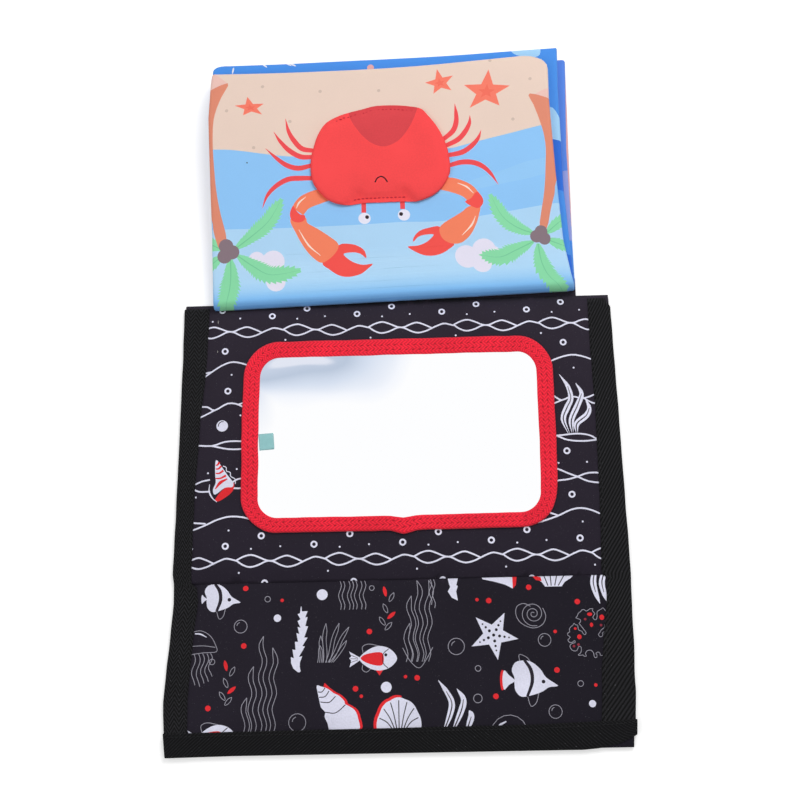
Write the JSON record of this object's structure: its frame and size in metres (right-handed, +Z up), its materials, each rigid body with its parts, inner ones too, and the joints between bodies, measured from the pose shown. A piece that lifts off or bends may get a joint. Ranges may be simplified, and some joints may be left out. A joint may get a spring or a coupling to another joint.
{
  "type": "tummy time book",
  "caption": "Fold-out cloth floor book for a baby: a padded panel with a framed mirror, a hinged base flap and soft pages hinged at the ridge, lying open and flat.",
  "frame": {"origin": "under the middle of the whole open book, on the surface it lies on", "axes": "+X across the width to the right, +Y from the base flap to the far edge of the pages, +Z up out of the mirror"},
  "size_m": [0.2852, 0.452, 0.0264],
  "materials": {
    "wave_cloth": "matte",
    "sea_cloth": "matte",
    "black_cloth": "matte",
    "black_tape": "matte",
    "red_tape": "matte",
    "mirror": "polished",
    "teal_film": "satin",
    "board": "matte",
    "foam": "matte",
    "film": "gloss",
    "hook": "matte",
    "leaf_1": "matte",
    "leaf_2": "matte",
    "leaf_3": "matte",
    "leaf_4": "matte",
    "crab_cloth": "matte"
  },
  "bodies": {
    "mirror_panel": {"mirror_cover_front": "wave_cloth", "mirror_cover_back": "black_cloth", "panel_board": "board", "panel_foam": "foam", "panel_tape_left": "black_tape", "panel_tape_right": "black_tape", "mirror_sheet": "mirror", "mirror_frame_tape": "red_tape", "film_tab": "teal_film"},
    "base_flap": {"flap_cover_front": "sea_cloth", "flap_cover_back": "black_cloth", "flap_board": "board", "flap_tape_left": "black_tape", "flap_tape_right": "black_tape", "bottom_webbing": "black_tape", "hook_strip": "hook"},
    "book_back": {"leaf_4_front": "leaf_4", "leaf_4_film": "film", "leaf_4_back": "leaf_4", "spine_strip": "black_tape", "loop_strip": "hook"},
    "page_3": {"leaf_3_front": "leaf_3", "leaf_3_film": "film", "leaf_3_back": "leaf_3"},
    "page_2": {"leaf_2_front": "leaf_2", "leaf_2_film": "film", "leaf_2_back": "leaf_2"},
    "page_1": {"leaf_1_front": "leaf_1", "leaf_1_film": "film", "leaf_1_back": "leaf_1", "crab_backing": "crab_cloth", "crab_wadding": "foam", "crab_cover": "crab_cloth"}
  },
  "joints": [
    {"name": "base_fold", "type": "hinge", "parent": "mirror_panel", "child": "base_flap", "pos_m": [0, -0.122, 0], "axis": [-1, 0, 0], "range_deg": [-115.7, 0]},
    {"name": "book_fold", "type": "hinge", "parent": "mirror_panel", "child": "book_back", "pos_m": [0, 0.061, 0], "axis": [1, 0, 0], "range_deg": [-144.7, 0]},
    {"name": "page_turn", "type": "hinge", "parent": "book_back", "child": "page_1", "pos_m": [0, 0.06125, 0.0082], "axis": [1, 0, 0], "range_deg": [0, 163]},
    {"name": "page_2_turn", "type": "hinge", "parent": "book_back", "child": "page_2", "pos_m": [0, 0.06125, 0.0082], "axis": [1, 0, 0], "range_deg": [0, 109]},
    {"name": "page_3_turn", "type": "hinge", "parent": "book_back", "child": "page_3", "pos_m": [0, 0.06125, 0.0082], "axis": [1, 0, 0], "range_deg": [0, 55]}
  ],
  "couplings": [
    {"joint": "page_2_turn", "follows": "page_turn", "ratio": 0.6667},
    {"joint": "page_3_turn", "follows": "page_turn", "ratio": 0.3333}
  ]
}
